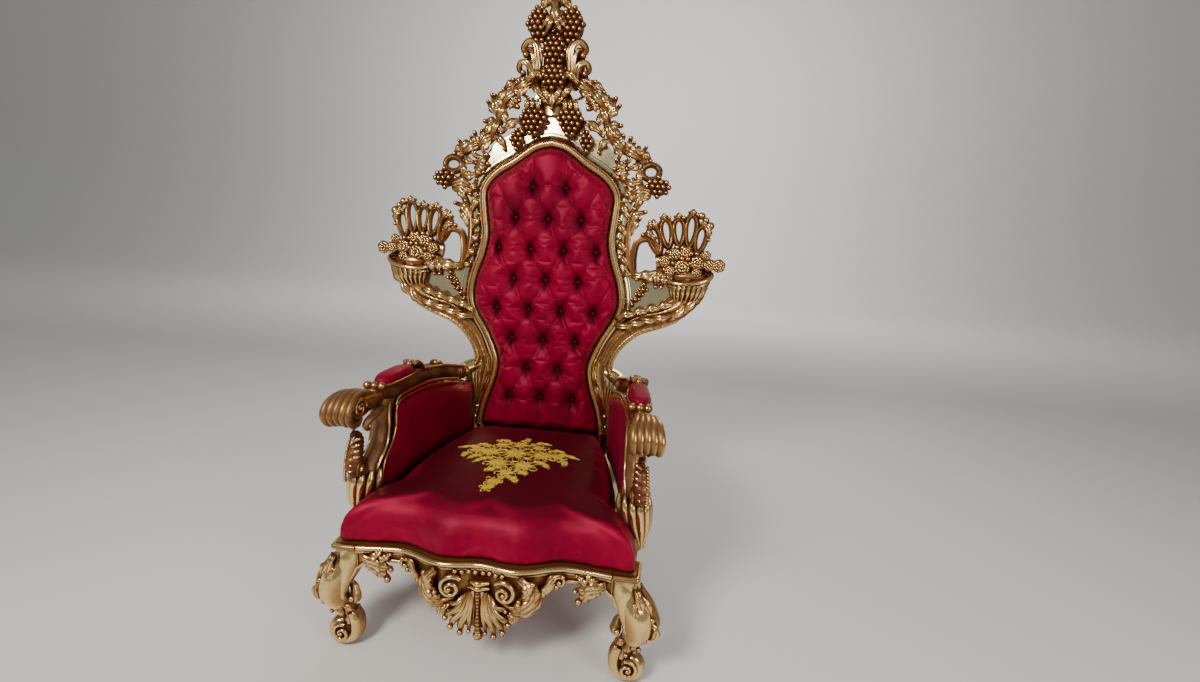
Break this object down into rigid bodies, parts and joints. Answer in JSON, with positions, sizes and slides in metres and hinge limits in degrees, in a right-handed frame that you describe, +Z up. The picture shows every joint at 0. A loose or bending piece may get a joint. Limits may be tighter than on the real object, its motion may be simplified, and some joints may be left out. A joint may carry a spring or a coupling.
{
  "type": "carved giltwood throne",
  "caption": "Tall ceremonial armchair with pierced vine crest, horns of plenty, buttoned velvet back, padded arms and scrolled feet.",
  "frame": {"origin": "on the floor, under the middle of the throne's bounding box", "axes": "+Z up, the front faces -Y, +X to the right of someone who looks at the front"},
  "size_m": [1.2381, 0.8475, 1.8588],
  "materials": {
    "antique_gilt": "water-gilded with a brown glaze in the hollows",
    "crimson_velvet": "short satin-like pile",
    "gold_thread": "metallic embroidery"
  },
  "bodies": {
    "root": {"back_frame": "antique_gilt", "seat_rail_front": "antique_gilt", "seat_rail_left": "antique_gilt", "seat_rail_right": "antique_gilt", "seat_rail_back": "antique_gilt", "leg_front_left": "antique_gilt", "leg_front_right": "antique_gilt", "arm_left": "antique_gilt", "arm_right": "antique_gilt", "arm_pad_left": "crimson_velvet", "arm_pad_right": "crimson_velvet", "side_panel_left": "crimson_velvet", "side_panel_right": "crimson_velvet", "seat_cushion": "crimson_velvet", "seat_applique": "gold_thread", "back_cushion": "crimson_velvet", "back_outer_panel": "crimson_velvet", "button_01": "crimson_velvet", "button_02": "crimson_velvet", "button_03": "crimson_velvet", "button_04": "crimson_velvet", "button_05": "crimson_velvet", "button_06": "crimson_velvet", "button_07": "crimson_velvet", "button_08": "crimson_velvet", "button_09": "crimson_velvet", "button_10": "crimson_velvet", "button_11": "crimson_velvet", "button_12": "crimson_velvet", "button_13": "crimson_velvet", "button_14": "crimson_velvet", "button_15": "crimson_velvet", "button_16": "crimson_velvet", "button_17": "crimson_velvet", "button_18": "crimson_velvet", "button_19": "crimson_velvet", "button_20": "crimson_velvet", "button_21": "crimson_velvet", "button_22": "crimson_velvet", "button_23": "crimson_velvet", "button_24": "crimson_velvet"}
  },
  "joints": []
}
